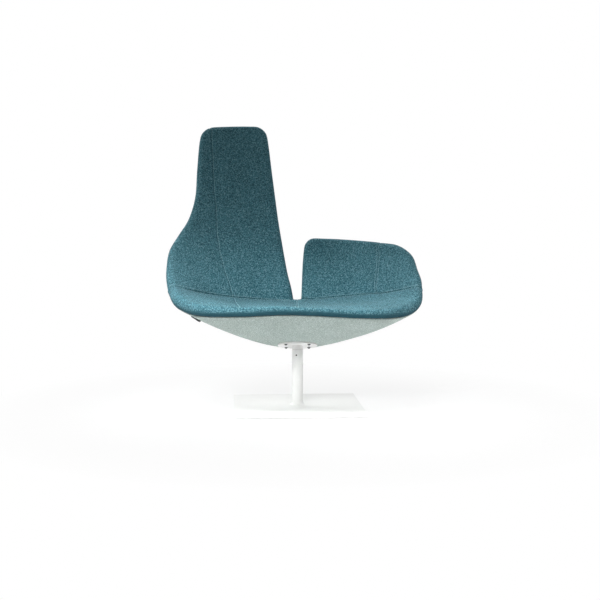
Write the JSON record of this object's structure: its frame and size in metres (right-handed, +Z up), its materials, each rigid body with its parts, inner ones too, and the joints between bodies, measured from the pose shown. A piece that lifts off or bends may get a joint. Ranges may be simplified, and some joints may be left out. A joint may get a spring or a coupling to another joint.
{
  "type": "pedestal swivel armchair",
  "caption": "Upholstered lounge armchair with a tall back on one side, a low wing on the other and a slit between them, turning on a slim column over a square floor plate.",
  "frame": {"origin": "on the floor, on the column's axis", "axes": "+Z up, -Y is the way the seat faces, +X is to the sitter's left, which is the viewer's right from the front"},
  "size_m": [0.9883, 0.7807, 1.1293],
  "materials": {
    "teal_fabric": "mottled wool weave, teal with light and dark flecks",
    "pale_fabric": "mottled wool weave, pale grey-green",
    "white_powder": "fine satin powder coat",
    "plain_steel": "plain zinc-plated steel",
    "dark_screw": "blackened steel",
    "nylon": "plain nylon",
    "cream_foam": "open moulded foam",
    "black_tape": "woven tape"
  },
  "bodies": {
    "base": {"base_plate": "white_powder", "glide_front_left": "nylon", "glide_front_right": "nylon", "glide_rear_left": "nylon", "glide_rear_right": "nylon", "glide_center": "nylon", "column_tube": "white_powder", "weld_fillet": "white_powder", "upper_bush": "nylon", "lower_bush": "nylon", "grub_screw": "dark_screw"},
    "seat": {"spindle": "plain_steel", "spindle_clip": "plain_steel", "hub": "white_powder", "flange_plate": "white_powder", "support_plate": "plain_steel", "flange_washer_1": "dark_screw", "flange_washer_2": "dark_screw", "flange_washer_3": "dark_screw", "flange_washer_4": "dark_screw", "flange_screw_1": "dark_screw", "flange_screw_2": "dark_screw", "flange_screw_3": "dark_screw", "flange_screw_4": "dark_screw", "flange_nut_1": "plain_steel", "flange_nut_2": "plain_steel", "flange_nut_3": "plain_steel", "flange_nut_4": "plain_steel", "seat_frame_bar": "plain_steel", "high_back_frame_bar": "plain_steel", "low_wing_frame_bar": "plain_steel", "seat_pad": "teal_fabric", "high_back_pad": "teal_fabric", "low_wing_pad": "teal_fabric", "high_back_cover": "pale_fabric", "low_wing_cover": "pale_fabric", "under_shell": "pale_fabric", "foam_core": "cream_foam", "side_tab": "black_tape"}
  },
  "joints": [
    {"name": "seat_swivel", "type": "hinge", "parent": "base", "child": "seat", "pos_m": [0, 0, 0.24], "axis": [0, 0, 1], "continuous": true}
  ]
}
